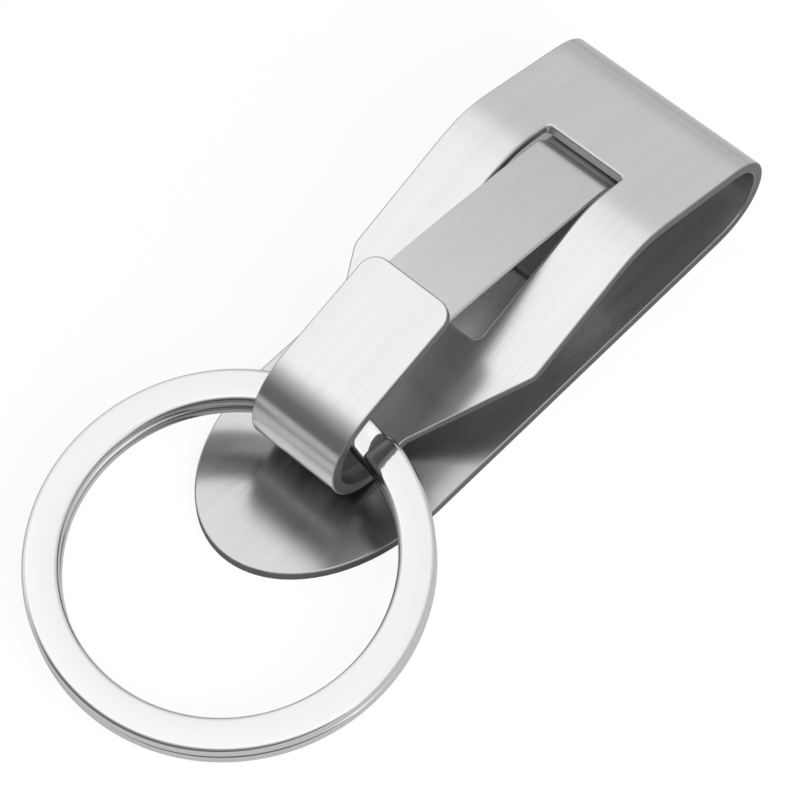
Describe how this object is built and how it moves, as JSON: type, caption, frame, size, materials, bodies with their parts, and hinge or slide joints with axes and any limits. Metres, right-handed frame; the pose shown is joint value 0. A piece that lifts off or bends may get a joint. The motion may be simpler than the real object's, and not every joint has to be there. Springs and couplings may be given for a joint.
{
  "type": "belt key clip",
  "caption": "Bent steel clip that slides over a belt, with an integral hook closed by a leaf spring gate and carrying a flat split key ring.",
  "frame": {"origin": "middle of the flat of the back plate, on its outer face, with the clip lying on its back", "axes": "+X across the clip's width, +Y along the back plate towards the belt bend, +Z from the back plate towards the front"},
  "size_m": [0.0349, 0.0781, 0.0162],
  "materials": {
    "clip_steel": "satin, brushed along the strip",
    "spring_steel": "satin, brushed along the strip",
    "ring_nickel": "polished nickel plate"
  },
  "bodies": {
    "back": {"back_arm": "clip_steel", "spring_tail": "spring_steel"},
    "front": {"front_arm": "clip_steel"},
    "gate": {"gate_tongue": "spring_steel"},
    "ring": {"split_ring": "ring_nickel"}
  },
  "joints": [
    {"name": "clip_spread", "type": "hinge", "parent": "back", "child": "front", "pos_m": [0, 0.02728, 0.00487], "axis": [-1, 0, 0], "range_deg": [0, 6], "stiffness_Nm_per_rad": 5},
    {"name": "gate_press", "type": "hinge", "parent": "front", "child": "gate", "pos_m": [0, 0.02728, 0.00487], "axis": [1, 0, 0], "range_deg": [0, 8], "stiffness_Nm_per_rad": 1},
    {"name": "ring_swing", "type": "hinge", "parent": "front", "child": "ring", "pos_m": [0.00205, -0.01272, 0.00559], "axis": [-1, 0, 0], "range_deg": [0, 160]}
  ]
}
